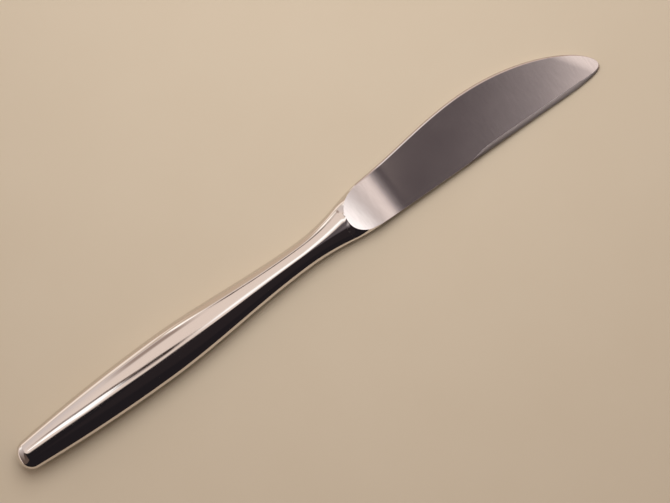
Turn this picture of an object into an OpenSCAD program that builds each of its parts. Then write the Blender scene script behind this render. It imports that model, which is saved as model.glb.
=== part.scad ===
// Dessert knife with a hollow handle. The blade is forged in one piece with its bolster and tang,
// and the tang is set in cement inside two pressed half shells that are brazed along their edges.
// X runs from the butt to the tip and Y from the cutting edge to the spine. The knife lies on its
// side as on a table, carried by the swell of the handle and by the tip of the blade.

/* [Handle] */
// Length of the handle, from the butt to the mouth that takes the blade
handle_length = 115.5; // [105:0.5:127]
// Distance from the butt to the widest place of the handle
swell_at = 50.5; // [39:0.5:61]
// Distance from the narrowest place of the handle to its mouth
flare_length = 14.5; // [12:0.5:20]
// Width of the handle at the butt, before its corners are rounded
butt_width = 8.3; // [7.8:0.1:10]
// Thickness of the handle at the butt, before its corners are rounded
butt_thickness = 5.2; // [4.6:0.1:6]
// Corner radius of the butt, seen from the side of the blade
butt_radius = 3.6; // [2:0.1:3.8]
// Width of the handle at its widest place
swell_width = 13.4; // [11.4:0.1:15.4]
// Thickness of the handle at its widest place
swell_thickness = 6.8; // [6.2:0.1:8]
// Width of the handle at the neck
neck_width = 8.2; // [7.2:0.1:9.8]
// Thickness of the handle at the neck
neck_thickness = 5.6; // [5.2:0.1:6.2]
// Width of the mouth of the handle
mouth_width = 11.4; // [10.2:0.1:12.6]
// Thickness of the mouth of the handle
mouth_thickness = 5; // [4.4:0.1:5.2]
// Fullness of the handle's oval section, where 2 is an ellipse
fullness = 2.2; // [2:0.05:2.6]
// Angle by which the handle falls away from the line of the cutting edge
handle_drop = 1.3; // [0:0.1:3]
// Height of the handle's axis above the line of the cutting edge, at the neck
neck_height = 5.75; // [4.75:0.05:6.75]
// Height of the middle of the mouth above the line of the cutting edge
mouth_height = 6.4; // [5.6:0.1:7]

/* [Shells] */
// Thickness of the sheet that the half shells are pressed from
shell_wall = 0.8; // [0.6:0.05:0.95]
// Thickness of the brazed seam between the half shells
braze_gap = 0.1; // [0.06:0.01:0.2]

/* [Blade outline] */
// Length of the blade and bolster, from the mouth of the handle to the tip
blade_length = 85.2; // [76:0.1:96]
// Distance from the mouth of the handle to the heel
heel_at = 12; // [10.5:0.1:14]
// Width of the blade at the heel
heel_width = 14.2; // [13.4:0.1:15.4]
// Rise of the spine for each millimetre of length at the heel
heel_rise = 0.09; // [0.02:0.01:0.12]
// Distance from the mouth of the handle to the widest place of the blade
belly_at = 47; // [40:0.5:56]
// Width of the blade at its widest place
belly_width = 18; // [16.6:0.1:20]
// Height of the tip above the line of the cutting edge
tip_height = 3.4; // [2:0.1:5]
// Length over which the cutting edge turns up to the tip
tip_turn = 12; // [8:0.5:16]
// Fullness of the cutting edge's curve up to the tip, where 2 is a parabola and 4 an ellipse
turn_fullness = 9; // [4:0.5:12]
// Fullness of the spine's curve into the tip, where 2 is a parabola and 4 an ellipse
tip_fullness = 3; // [2.6:0.1:3.6]
// Half of the blunt width left at the tip
tip_land = 0.15; // [0.1:0.05:0.3]

/* [Blade section] */
// Thickness of the blade at the spine, at the heel
spine_thickness = 1.9; // [1.6:0.05:2.2]
// Thickness of the blade at the cutting edge, at the heel
edge_thickness = 0.9; // [0.7:0.05:1.1]
// Thickness of the blade at the tip
tip_thickness = 0.8; // [0.6:0.05:0.9]
// Radius of the rounded edges of the spine
spine_radius = 0.45; // [0.2:0.05:0.6]
// Width of the bevel on the sharpened part of the cutting edge
bevel_width = 1.4; // [0.8:0.05:1.8]
// Width of the dulled corner on the blunt part of the cutting edge
dull_width = 0.15; // [0.1:0.01:0.25]
// Thickness left at the sharpened edge
sharp_thickness = 0.16; // [0.1:0.02:0.3]
// Distance from the mouth of the handle to the start of the sharpened edge
sharp_at = 38; // [30:0.5:50]
// Length over which the bevel grows to its full width
sharp_fade = 9; // [4:0.5:14]

/* [Grind] */
// Distance from the mouth of the handle to the middle of the grind line
grind_at = 1.3; // [1:0.1:2.4]
// Distance by which the grind line's ends lie ahead of its middle
grind_depth = 7.4; // [5:0.1:8]
// Fullness of the grind line, where 2 is half an ellipse
grind_fullness = 2.4; // [2:0.1:3]
// Angle of the ramp on which the ground flat runs out at the grind line
ramp_angle = 10.5; // [8.5:0.1:12]
// Length of the hollow that eases the ramp into the flat
ramp_blend = 10; // [7:0.5:12]
// Distance from the tip to the place on the spine where the rounding of the tip's corner starts
corner_at = 9; // [7:0.5:10]
// Angle by which that rounding leans from the knife's length towards the spine
corner_lean = 32; // [26:1:45]
// Radius at which the tip's corner is rounded off
corner_radius = 48; // [44:1:90]

/* [Tang] */
// Length of the plug of the bolster that sits in the mouth
spigot_length = 4; // [3:0.25:6]
// Play between the plug and the half shells
spigot_gap = 0.05; // [0.03:0.01:0.12]
// Length of the tang, from the mouth of the handle
tang_length = 58; // [44:0.5:66]
// Share of the tang's width that is left at its end
tang_taper = 0.7; // [0.5:0.05:0.9]
// Room for cement between the tang and the half shells at the neck
tang_room = 0.85; // [0.75:0.01:0.95]
// Depth of the notches that key the tang in the cement
notch_depth = 0.5; // [0.3:0.05:0.6]
// Length of each notch along the tang
notch_length = 2; // [1:0.1:3]
// Number of notches along each side of the tang
notch_count = 4; // [2:1:6]
// Length by which the cement reaches past the end of the tang
cement_past = 6; // [4:0.5:12]

/* [Hidden] */
// Largest share of the blade's half thickness that a rounded edge of the spine takes
round_share = 0.7;
// Names of the pieces
// Piece to draw, or all of them
// Steps of the handle around the butt, along its length and along the plug, and around half a section
butt_steps = 6;
handle_steps = 30;
spigot_steps = 3;
half_steps = 20;
// Steps of the blade along the bolster, the run-out and the flat, across the flat, and around an edge
// of the spine
bolster_steps = 5;
run_steps = 6;
flat_steps = 26;
face_steps = 10;
round_steps = 2;
// Steps of half a section of the blade: one down the spine, its edge, the face, and two at the edge
loop_steps = 1 + round_steps + face_steps + 2;

// Places along the knife, from the butt
neck_x = handle_length - flare_length;
spigot_x = handle_length - spigot_length;
heel_x = handle_length + heel_at;
belly_x = handle_length + belly_at;
tip_x = handle_length + blade_length;
tang_end_x = handle_length - tang_length;

function mix(a, b, t) = a + (b - a) * t;

function smooth(t) = t <= 0 ? 0 : t >= 1 ? 1 : t * t * (3 - 2 * t);

// Cubic from height p with slope u at x0 to height q with slope v at x1
function cubic(x, x0, p, u, x1, q, v) =
    let (d = x1 - x0, t = (x - x0) / d)
    mix(p, q, smooth(t)) + d * t * (1 - t) * (u * (1 - t) - v * t);

// Size of the handle along its length from the four sizes at butt, swell, neck and mouth
function along(x, butt, swell, neck, mouth) =
    x < swell_at ? swell - (swell - butt) * pow(1 - x / swell_at, 2)
    : x < neck_x ? mix(swell, neck, smooth((x - swell_at) / (neck_x - swell_at)))
    : neck + (mouth - neck) * pow((x - neck_x) / flare_length, 2);

// Share of the section left where the butt is rounded off
function butt_share(x) =
    let (u = max(0, 1 - x / butt_radius))
    1 - 2 * butt_radius / butt_width * (1 - sqrt(1 - u * u));

function half_width(x) = along(x, butt_width, swell_width, neck_width, mouth_width) * butt_share(x) / 2;

function half_thickness(x) =
    along(x, butt_thickness, swell_thickness, neck_thickness, mouth_thickness) * butt_share(x) / 2;

// Bend of the handle's axis between the neck and the mouth
axis_bend = mouth_height - neck_height - flare_length * tan(handle_drop);

// Height of the handle's axis above the line of the cutting edge
function axis_y(x) =
    neck_height + (x - neck_x) * tan(handle_drop)
    + axis_bend * pow(max(0, x - neck_x) / flare_length, 2);

// Point of the handle's oval section, by its angle from the spine's side
function oval(w, t, angle) =
    let (c = cos(angle), s = abs(sin(angle)), power = 2 / fullness)
    [sign(c) * w * pow(abs(c), power), t * pow(s, power)];

// Stations of the handle, from the butt to the mouth
station_x = concat(
    [for (i = [0 : butt_steps - 1]) butt_radius * (1 - cos(90 * i / butt_steps))],
    [for (i = [0 : handle_steps - 1]) mix(butt_radius, spigot_x, i / handle_steps)],
    [for (i = [0 : spigot_steps]) mix(spigot_x, handle_length, i / spigot_steps)]
);
spigot_station = butt_steps + handle_steps;
last_station = len(station_x) - 1;

// Station of the hollow inside the butt, a wall further in than outside
function hollow_x(x) = x < butt_radius ? mix(shell_wall, butt_radius, x / butt_radius) : x;

// Row of points over the upper half of the handle, a wall inside its surface
function shell_row(x, wall) =
    let (rim = braze_gap / 2, w = half_width(x) - wall, t = half_thickness(x) - wall - rim)
    [for (k = [0 : half_steps])
        let (p = oval(w, t, 180 * k / half_steps))
        [x, axis_y(x) + p[0], rim + p[1]]];

outer_rows = [for (x = station_x) shell_row(x, 0)];
inner_rows = [for (x = station_x) shell_row(hollow_x(x), shell_wall)];

// Slopes of the flared outline where it passes from the handle to the bolster
flare_slope = (mouth_width - neck_width) / flare_length;
axis_slope = tan(handle_drop) + 2 * axis_bend / flare_length;

// Share of the thickness that the handle gains there for each millimetre of length
mouth_gain = 2 * (mouth_thickness - neck_thickness) / flare_length / mouth_thickness;

// Outline of the spine
function spine_y(x) =
    let (s = min(1, (x - belly_x) / (tip_x - belly_x)))
    x < heel_x ? cubic(x, handle_length, mouth_height + mouth_width / 2, axis_slope + flare_slope,
        heel_x, heel_width, heel_rise)
    : x < belly_x ? cubic(x, heel_x, heel_width, heel_rise, belly_x, belly_width, 0)
    : tip_height + max(tip_land, (belly_width - tip_height) * pow(1 - s * s, 2 / tip_fullness));

// Outline of the cutting edge
function edge_y(x) =
    let (s = max(0, min(1, 1 - (tip_x - x) / tip_turn)))
    x < heel_x ? cubic(x, handle_length, mouth_height - mouth_width / 2, axis_slope - flare_slope,
        heel_x, 0, 0)
    : min(tip_height - tip_land, tip_height * (1 - pow(1 - s * s, 2 / turn_fullness)));

function middle_y(x) = (spine_y(x) + edge_y(x)) / 2;

function blade_half_width(x) = (spine_y(x) - edge_y(x)) / 2;

// Loss of half thickness for each millimetre towards the tip
wedge_side = (spine_thickness - edge_thickness) / 2 / heel_width;
wedge_taper = (edge_thickness / 2 + wedge_side * tip_height - tip_thickness / 2) / (tip_x - heel_x);

// Half thickness of the flat wedge of the blade
function wedge_z(x, y) = edge_thickness / 2 + wedge_side * y - wedge_taper * (x - heel_x);

// Place of the grind line, by the place across the blade from -1 at the edge to 1 at the spine
function grind_x(t) =
    handle_length + grind_at
    + grind_depth * (1 - pow(1 - pow(abs(t), grind_fullness), 1 / grind_fullness));

// End of the run-out, from which the blade is flat
grind_rise = mouth_thickness / 2 * (1 + mouth_gain * grind_at) - wedge_z(grind_x(0), mouth_height);
ramp_length = grind_rise / tan(ramp_angle);
flat_x = grind_x(0) + sqrt(ramp_length * (ramp_length + 2 * ramp_blend));

// Rise of the run-out above the flat, a ramp that starts in a hollow
function ramp_z(x) =
    let (run = max(0, flat_x - x))
    tan(ramp_angle) * (sqrt(run * run + ramp_blend * ramp_blend) - ramp_blend);

// Start of the rounding of the tip's corner, on the spine
corner_x = tip_x - corner_at;
corner_y = spine_y(corner_x);

// Fall of the face where the tip's corner is rounded off
function corner_fall(x, y) =
    let (past = max(0, (x - corner_x) * cos(corner_lean) + (y - corner_y) * sin(corner_lean)))
    past * past / 2 / corner_radius;

// Half thickness of the ground blade, with its run-out and its rounded-off tip
function face_z(x, y) = wedge_z(x, y) + ramp_z(x) - corner_fall(x, y);

// Share of the bevel that is ground at a place along the blade
function sharp(x) = smooth((x - handle_length - sharp_at) / sharp_fade);

// Width of the bevel, or of the dulled edge, beside the cutting edge
function bevel_at(x) = min(mix(dull_width, bevel_width, sharp(x)), blade_half_width(x) / 2);

// Half thickness left at the cutting edge
function edge_z(x) = mix(face_z(x, edge_y(x)) - dull_width, sharp_thickness / 2, sharp(x));

// Radius of the spine's rounded edges, which shrinks with the width and thickness at the tip
function round_radius(x) =
    min(spine_radius, blade_half_width(x) / 2, face_z(x, spine_y(x)) * round_share);

// Place along the blade: from the grind line to the flat up to 1, and on to the tip up to 2
function blade_x(s, t) = s < 1 ? mix(grind_x(t), flat_x, s) : mix(flat_x, tip_x, s - 1);

// Half section of the blade from the middle of the spine over one face to the cutting edge
function blade_half(s) =
    let (xs = blade_x(s, 1), xe = blade_x(s, -1), r = round_radius(xs), z = face_z(xs, spine_y(xs) - r))
    concat(
        [[xs, spine_y(xs), 0]],
        [for (k = [0 : round_steps - 1])
            let (a = 90 * k / round_steps)
            [xs, spine_y(xs) - r + r * cos(a), z - r + r * sin(a)]],
        [for (k = [0 : face_steps])
            let (t = 1 - 2 * k / face_steps,
                x = blade_x(s, t),
                y = mix(spine_y(x) - round_radius(x), edge_y(x) + bevel_at(x), k / face_steps))
            [x, y, face_z(x, y)]],
        [[xe, edge_y(xe), edge_z(xe)], [xe, edge_y(xe), 0]]
    );

// Half section of an oval about the handle's axis, with as many points as one of the blade
function oval_half(x, w, t) =
    [for (k = [0 : loop_steps])
        let (p = oval(w, t, 180 * k / loop_steps))
        [x, axis_y(x) + p[0], p[1]]];

// Section of the plug, a wall and its play inside the handle's surface
function spigot_row(x) =
    let (inset = shell_wall + spigot_gap)
    closed(oval_half(x, half_width(x) - inset, half_thickness(x) - inset));

grind_half = blade_half(0);
flat_halves = [for (i = [0 : flat_steps]) blade_half(1 + sin(90 * i / flat_steps))];
mouth_half = oval_half(handle_length, mouth_width / 2, mouth_thickness / 2);

// Point of the bolster between the mouth and the grind line, which carries on the handle's slope
function bolster_point(k, s) =
    let (p = mouth_half[k],
        q = grind_half[k],
        x = mix(p[0], q[0], s),
        a = (p[1] - mouth_height) * 2 / mouth_width,
        b = (q[1] - middle_y(q[0])) / blade_half_width(q[0]),
        gain = p[2] * mouth_gain * (q[0] - p[0]))
    [
        x,
        middle_y(x) + mix(a, b, s * s) * blade_half_width(x),
        p[2] + gain * s + (q[2] - p[2] - gain) * s * s
    ];

// Closed section from its upper half, which starts and ends in the middle plane
function closed(half) =
    concat(half, [for (k = [len(half) - 2 : -1 : 1]) [half[k][0], half[k][1], -half[k][2]]]);

// Half width of the tang, an oval bar along the handle's axis that tapers to its end
function tang_half(x) =
    (neck_width / 2 - shell_wall - tang_room) * mix(tang_taper, 1, (x - tang_end_x) / tang_length);

// Half thickness of the tang
tang_z = neck_thickness / 2 - shell_wall - tang_room;

// Section of the tang with a half width of w
function tang_row(x, w) = closed(oval_half(x, w, tang_z));

notch_pitch = (tang_length - spigot_length) / (notch_count + 1);

// Tang from its end to the plug, notched on both sides
tang_rows = concat(
    [tang_row(tang_end_x, tang_half(tang_end_x))],
    [for (i = [1 : notch_count], e = [-1, 0, 1])
        let (x = tang_end_x + i * notch_pitch + e * notch_length / 2)
        tang_row(x, tang_half(x) - (e == 0 ? notch_depth : 0))],
    [tang_row(spigot_x, tang_half(spigot_x))]
);

blade_rows = concat(
    tang_rows,
    [for (i = [spigot_station : last_station]) spigot_row(station_x[i])],
    [for (i = [0 : bolster_steps - 1])
        closed([for (k = [0 : loop_steps]) bolster_point(k, i / bolster_steps)])],
    [for (i = [0 : run_steps - 1]) closed(blade_half(i / run_steps))],
    [for (half = flat_halves) closed(half)]
);

// Last station of the hollow that the cement reaches back to
cement_station = max([for (i = [1 : spigot_station - 1])
    if (station_x[i] <= tang_end_x - cement_past) i]);

cement_rows = [for (i = [cement_station : spigot_station])
    concat(inner_rows[i], [for (k = [half_steps : -1 : 0])
        let (p = inner_rows[i][k])
        [p[0], p[1], -p[2]]])];

// Tilt at which the knife lies, and the height of its middle plane there, at the butt
rest_x = [for (i = [butt_steps : last_station]) station_x[i]];
rest_tilt = atan(max([for (x = rest_x)
    min([for (half = flat_halves, p = half) (half_thickness(x) - p[2]) / (p[0] - x)])]));
rest_z = max([for (x = rest_x) x * sin(rest_tilt) + half_thickness(x) * cos(rest_tilt)]);

// Middle of the knife across its width
low_y = min([for (row = outer_rows, p = row) p[1]]);
high_y = max([for (row = blade_rows, p = row) p[1]]);
centre_y = (low_y + high_y) / 2;

// Triangles between rows of points that run along X, each row over +Z from +Y to -Y
function grid_faces(rows, columns, ring) =
    [for (i = [0 : rows - 2], j = [0 : columns - (ring ? 1 : 2)])
        let (a = i * columns + j, b = i * columns + (j + 1) % columns)
        each [[a, a + columns, b + columns], [a, b + columns, b]]];

// The same faces turned over, for points listed later
function turned(faces, first) =
    [for (f = faces) [for (k = [len(f) : -1 : 1]) f[k % len(f)] + first]];

function joined(rows) = [for (row = rows) each row];

// Solid through closed sections, with a flat end at the first and the last
module skin(rows) {
    columns = len(rows[0]);
    first = [for (j = [0 : columns - 1]) j];
    polyhedron(
        points = joined(rows),
        faces = concat(
            grid_faces(len(rows), columns, true),
            [first],
            turned([first], (len(rows) - 1) * columns)
        ),
        convexity = 6
    );
}

// Knife as drawn, butt at the origin, laid down as on a table over its middle
module laid() {
    translate([-tip_x * cos(rest_tilt) / 2, -centre_y, rest_z])
        rotate([0, rest_tilt, 0])
            children();
}

// Upper half shell, with its edge on the upper side of the seam
module shell() {
    rows = last_station + 1;
    columns = half_steps + 1;
    inside = rows * columns;
    skin_faces = grid_faces(rows, columns, false);
    rim = last_station * columns;
    butt = [for (j = [0 : half_steps]) j];
    polyhedron(
        points = concat(joined(outer_rows), joined(inner_rows)),
        faces = concat(
            skin_faces,
            turned(skin_faces, inside),
            [for (j = [rim : rim + half_steps - 1]) [j + 1, j, j + inside, j + 1 + inside]],
            [for (i = [0 : last_station - 1])
                let (a = i * columns, b = a + columns)
                [a + inside, b + inside, b, a]],
            [for (i = [0 : last_station - 1])
                let (a = i * columns + half_steps, b = a + columns)
                [a, b, b + inside, a + inside]],
            [butt, [half_steps, half_steps + inside, inside, 0]],
            turned([butt], inside)
        ),
        convexity = 6
    );
}

// Blade, bolster, plug and tang, forged in one piece
module blade() {
    color("silver")
        laid()
            skin(blade_rows);
}

// Half shell on the side that faces up
module handle_shell_upper() {
    color("gainsboro")
        laid()
            shell();
}

// Half shell on the side that the knife lies on
module handle_shell_lower() {
    color("lightgray")
        laid()
            mirror([0, 0, 1])
                shell();
}

// Brazed seam between the edges of the half shells, from the mouth round the butt and back
module seam_braze() {
    color("goldenrod")
        laid()
            linear_extrude(height = braze_gap, center = true)
                polygon([
                    for (i = [last_station : -1 : 0]) [outer_rows[i][0][0], outer_rows[i][0][1]],
                    for (row = outer_rows) [row[half_steps][0], row[half_steps][1]],
                    for (i = [last_station : -1 : 0])
                        [inner_rows[i][half_steps][0], inner_rows[i][half_steps][1]],
                    for (row = inner_rows) [row[0][0], row[0][1]]
                ]);
}

// Cement that holds the tang in the half shells
module handle_cement() {
    color("tan")
        laid()
            difference() {
                skin(cement_rows);
                skin(concat(tang_rows, [tang_row(handle_length, tang_half(spigot_x))]));
            }
}

blade();
handle_shell_upper();
handle_shell_lower();
seam_braze();
handle_cement();
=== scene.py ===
"""Dessert knife with a hollow handle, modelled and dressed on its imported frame.

The blade is one forging with its bolster and tang. Its flats are ground across to a satin, and the
bolster and the two pressed half shells of the handle are polished to a mirror. Sizes are in
millimetres in the knife's own design frame: X from the butt to the tip, Y from the line of the
cutting edge to the spine, and Z up from the middle plane. The lay puts the meshes in the frame.
"""

import logging
import math
from abc import ABC, abstractmethod
from dataclasses import dataclass
from enum import Enum
from functools import cached_property
from typing import Any, ClassVar

import bpy
from mathutils import Matrix, Vector


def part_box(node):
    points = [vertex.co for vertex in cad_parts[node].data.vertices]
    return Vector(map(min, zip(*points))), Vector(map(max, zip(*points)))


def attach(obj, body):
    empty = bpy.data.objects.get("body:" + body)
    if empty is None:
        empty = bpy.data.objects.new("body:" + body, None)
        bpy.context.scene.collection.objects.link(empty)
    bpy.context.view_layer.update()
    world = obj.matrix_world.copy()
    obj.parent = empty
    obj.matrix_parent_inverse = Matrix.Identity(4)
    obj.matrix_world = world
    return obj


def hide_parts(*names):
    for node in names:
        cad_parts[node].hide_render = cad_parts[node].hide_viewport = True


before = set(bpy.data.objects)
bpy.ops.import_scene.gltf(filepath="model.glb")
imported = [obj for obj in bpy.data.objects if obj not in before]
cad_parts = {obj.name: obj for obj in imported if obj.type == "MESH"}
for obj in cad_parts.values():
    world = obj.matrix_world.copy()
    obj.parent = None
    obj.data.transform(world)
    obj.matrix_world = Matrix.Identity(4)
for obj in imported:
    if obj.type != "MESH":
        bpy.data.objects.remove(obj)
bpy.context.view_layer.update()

MM = 0.001
LOG = logging.getLogger("dessert_knife")

Point = tuple[float, float, float]
Band = tuple[float, float]
Colour = tuple[float, float, float, float]
Inputs = dict[str | int, Any]


class Side(Enum):
    """Side of the middle plane that a half shell covers, as the sign of its height."""

    UPPER = 1
    LOWER = -1


class BladeFinish(Enum):
    """Finish of a face of the blade, as the number of its material in the mesh."""

    SATIN = 0
    POLISHED = 1
    HONED = 2


def linear(hex_colour: str, strength: float = 1.0) -> Colour:
    """Turn an sRGB colour into linear light.

    Args:
        hex_colour: colour as #rrggbb.
        strength: factor on the light.

    Returns:
        Red, green, blue and an alpha of 1.
    """
    shares = [int(hex_colour[i : i + 2], 16) / 255 for i in (1, 3, 5)]
    light = [s / 12.92 if s <= 0.04045 else ((s + 0.055) / 1.055) ** 2.4 for s in shares]
    return (light[0] * strength, light[1] * strength, light[2] * strength, 1.0)


def mix(a: float, b: float, t: float) -> float:
    """Value between a and b at the share t."""
    return a + (b - a) * t


def smooth(t: float) -> float:
    """Share that eases in and out between 0 and 1."""
    t = min(1.0, max(0.0, t))
    return t * t * (3 - 2 * t)


def cubic(x: float, start: Point, end: Point) -> float:
    """Height of a cubic between two places.

    Args:
        x: place along the knife.
        start: place, height and slope at the start.
        end: place, height and slope at the end.

    Returns:
        The height at x.
    """
    span = end[0] - start[0]
    t = (x - start[0]) / span
    bend = span * t * (1 - t) * (start[2] * (1 - t) - end[2] * t)
    return mix(start[1], end[1], smooth(t)) + bend


def add_node(
    tree: bpy.types.NodeTree,
    kind: str,
    settings: dict[str, Any] | None = None,
    inputs: Inputs | None = None,
) -> bpy.types.Node:
    """Add a node with its settings and links to a tree.

    Args:
        tree: the tree that takes the node.
        kind: Blender's name of the kind of node.
        settings: values of the node's own properties.
        inputs: a value, or an output to link, for each input by its name or number.

    Returns:
        The new node.
    """
    node = tree.nodes.new(kind)
    for name, value in (settings or {}).items():
        setattr(node, name, value)
    for key, value in (inputs or {}).items():
        if isinstance(value, bpy.types.NodeSocket):
            tree.links.new(value, node.inputs[key])
        else:
            node.inputs[key].default_value = value
    return node


class Finish(ABC):
    """A finish, made as a node material whose patterns read Object coordinates."""

    name: str

    def build(self) -> bpy.types.Material:
        """Make the material.

        Returns:
            The finished material.
        """
        material = bpy.data.materials.new(self.name)
        material.use_nodes = True
        tree = material.node_tree
        tree.nodes.clear()
        place = add_node(tree, "ShaderNodeTexCoord").outputs["Object"]
        shader = add_node(tree, "ShaderNodeBsdfPrincipled", inputs=self.surface(tree, place))
        add_node(tree, "ShaderNodeOutputMaterial", inputs={"Surface": shader.outputs[0]})
        return material

    @abstractmethod
    def surface(self, tree: bpy.types.NodeTree, place: bpy.types.NodeSocket) -> Inputs:
        """Add the patterns of the finish.

        Args:
            tree: the material's tree.
            place: the place on the piece.

        Returns:
            A value, or an output to link, for each of the shader's inputs that the finish sets.
        """

    @staticmethod
    def streaks(
        tree: bpy.types.NodeTree,
        place: bpy.types.NodeSocket,
        size: Point,
        detail: float,
        roughness: float = 0.5,
    ) -> bpy.types.NodeSocket:
        """Add noise that is drawn out into streaks.

        Args:
            tree: the material's tree.
            place: the place on the piece.
            size: size of a streak along the knife, across it and up, in millimetres.
            detail: levels of finer noise in it.
            roughness: share of its strength that each finer level keeps.

        Returns:
            The value of the noise.
        """
        stretched = add_node(
            tree,
            "ShaderNodeMapping",
            inputs={"Vector": place, "Scale": tuple(1 / (side * MM) for side in size)},
        )
        return add_node(
            tree,
            "ShaderNodeTexNoise",
            inputs={
                "Vector": stretched.outputs[0],
                "Scale": 1.0,
                "Detail": detail,
                "Roughness": roughness,
            },
        ).outputs[0]


@dataclass(frozen=True)
class MirrorPolish(Finish):
    """Stainless steel sheet, buffed on a mop to a mirror.

    It has hardly a colour of its own and shows the room. Buffing leaves a patchy haze, the mop
    leaves faint waves that bend the reflections, and use leaves hairlines along the handle. A band
    gives the values of a pattern's noise at which it starts and is full.
    """

    name: str = "stainless_steel_mirror_polished"
    colour: str = "#e6e1dd"
    worn_colour: str = "#dcd6d1"
    haze_from: float = 0.03
    haze_to: float = 0.075
    haze_size: float = 7.0
    haze_band: Band = (0.35, 0.7)
    wave_size: float = 11.0
    wave_height: float = 0.004
    hairline_gap: float = 0.3
    hairline_length: float = 14.0
    hairline_band: Band = (0.6, 0.85)

    def surface(self, tree: bpy.types.NodeTree, place: bpy.types.NodeSocket) -> Inputs:
        """Add the haze, the hairlines and the waves.

        Args:
            tree: the material's tree.
            place: the place on the piece.

        Returns:
            What the shader's inputs get.
        """
        haze = add_node(
            tree,
            "ShaderNodeTexNoise",
            inputs={"Vector": place, "Scale": 1 / (self.haze_size * MM), "Detail": 4.0},
        ).outputs[0]
        hairline = (self.hairline_length, self.hairline_gap, self.hairline_gap)
        hairlines = self.streaks(tree, place, hairline, detail=3.0)
        start, full = self.hairline_band
        marks = add_node(
            tree,
            "ShaderNodeMapRange",
            inputs={"Value": hairlines, "From Min": start, "From Max": full},
        )
        worn = add_node(
            tree, "ShaderNodeMath", {"operation": "MULTIPLY"}, {0: marks.outputs[0], 1: haze}
        )
        colour = add_node(
            tree,
            "ShaderNodeMix",
            {"data_type": "RGBA"},
            {0: worn.outputs[0], 6: linear(self.colour), 7: linear(self.worn_colour)},
        )
        start, full = self.haze_band
        roughness = add_node(
            tree,
            "ShaderNodeMapRange",
            inputs={
                "Value": haze,
                "From Min": start,
                "From Max": full,
                "To Min": self.haze_from,
                "To Max": self.haze_to,
            },
        )
        waves = add_node(
            tree,
            "ShaderNodeTexNoise",
            inputs={"Vector": place, "Scale": 1 / (self.wave_size * MM), "Detail": 0.0},
        )
        bump = add_node(
            tree,
            "ShaderNodeBump",
            inputs={
                "Strength": 1.0,
                "Distance": self.wave_height * MM,
                "Height": waves.outputs[0],
            },
        )
        return {
            "Base Color": colour.outputs[2],
            "Metallic": 1.0,
            "Roughness": roughness.outputs[0],
            "Normal": bump.outputs[0],
        }


@dataclass(frozen=True)
class SatinGrind(Finish):
    """Stainless steel, ground across the blade on a fine belt.

    The lines of the grit run from spine to edge, so reflections blur along the blade: the flats go
    from light to dark without an edge. The grit's lines are under 0.1 mm apart, too fine to show,
    and are drawn about 0.35 mm apart. A band gives the values of a pattern's noise at which it
    starts and is full.
    """

    name: str = "stainless_steel_satin_ground"
    colour: str = "#d4cbc8"
    line_colour: str = "#cbc2bf"
    line_gap: float = 0.35
    line_length: float = 3.0
    line_height: float = 0.0003
    line_roughness: float = 0.65
    line_band: Band = (0.35, 0.75)
    roughness_from: float = 0.08
    roughness_to: float = 0.1
    anisotropy: float = 0.2
    cloud_size: float = 16.0
    cloud_band: Band = (0.3, 0.7)

    def surface(self, tree: bpy.types.NodeTree, place: bpy.types.NodeSocket) -> Inputs:
        """Add the grit's lines and the clouds in the gloss.

        Args:
            tree: the material's tree.
            place: the place on the piece.

        Returns:
            What the shader's inputs get.
        """
        line = (self.line_gap, self.line_length, self.line_length)
        lines = self.streaks(tree, place, line, detail=5.0, roughness=self.line_roughness)
        clouds = add_node(
            tree,
            "ShaderNodeTexNoise",
            inputs={"Vector": place, "Scale": 1 / (self.cloud_size * MM), "Detail": 2.0},
        )
        start, full = self.line_band
        shade = add_node(
            tree,
            "ShaderNodeMapRange",
            inputs={"Value": lines, "From Min": start, "From Max": full},
        )
        colour = add_node(
            tree,
            "ShaderNodeMix",
            {"data_type": "RGBA"},
            {0: shade.outputs[0], 6: linear(self.colour), 7: linear(self.line_colour)},
        )
        start, full = self.cloud_band
        roughness = add_node(
            tree,
            "ShaderNodeMapRange",
            inputs={
                "Value": clouds.outputs[0],
                "From Min": start,
                "From Max": full,
                "To Min": self.roughness_from,
                "To Max": self.roughness_to,
            },
        )
        bump = add_node(
            tree,
            "ShaderNodeBump",
            inputs={"Strength": 1.0, "Distance": self.line_height * MM, "Height": lines},
        )
        across = add_node(
            tree,
            "ShaderNodeTangent",
            {"direction_type": "UV_MAP", "uv_map": Blade.UV_NAME},
        )
        return {
            "Base Color": colour.outputs[2],
            "Metallic": 1.0,
            "Roughness": roughness.outputs[0],
            "Anisotropic": self.anisotropy,
            "Tangent": across.outputs[0],
            "Normal": bump.outputs[0],
        }


@dataclass(frozen=True)
class HonedEdge(Finish):
    """Stainless steel, honed on a stone along the cutting edge.

    Rougher than the flat beside it, so it holds no reflection: a soft grey strip with fine lines.
    """

    name: str = "stainless_steel_honed"
    colour: str = "#d0c8c8"
    line_colour: str = "#bfb6b6"
    line_gap: float = 0.2
    line_length: float = 6.0
    roughness: float = 0.44

    def surface(self, tree: bpy.types.NodeTree, place: bpy.types.NodeSocket) -> Inputs:
        """Add the stone's lines.

        Args:
            tree: the material's tree.
            place: the place on the piece.

        Returns:
            What the shader's inputs get.
        """
        line = (self.line_length, self.line_gap, self.line_gap)
        lines = self.streaks(tree, place, line, detail=3.0)
        colour = add_node(
            tree,
            "ShaderNodeMix",
            {"data_type": "RGBA"},
            {0: lines, 6: linear(self.colour), 7: linear(self.line_colour)},
        )
        return {
            "Base Color": colour.outputs[2],
            "Metallic": 1.0,
            "Roughness": self.roughness,
        }


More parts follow.
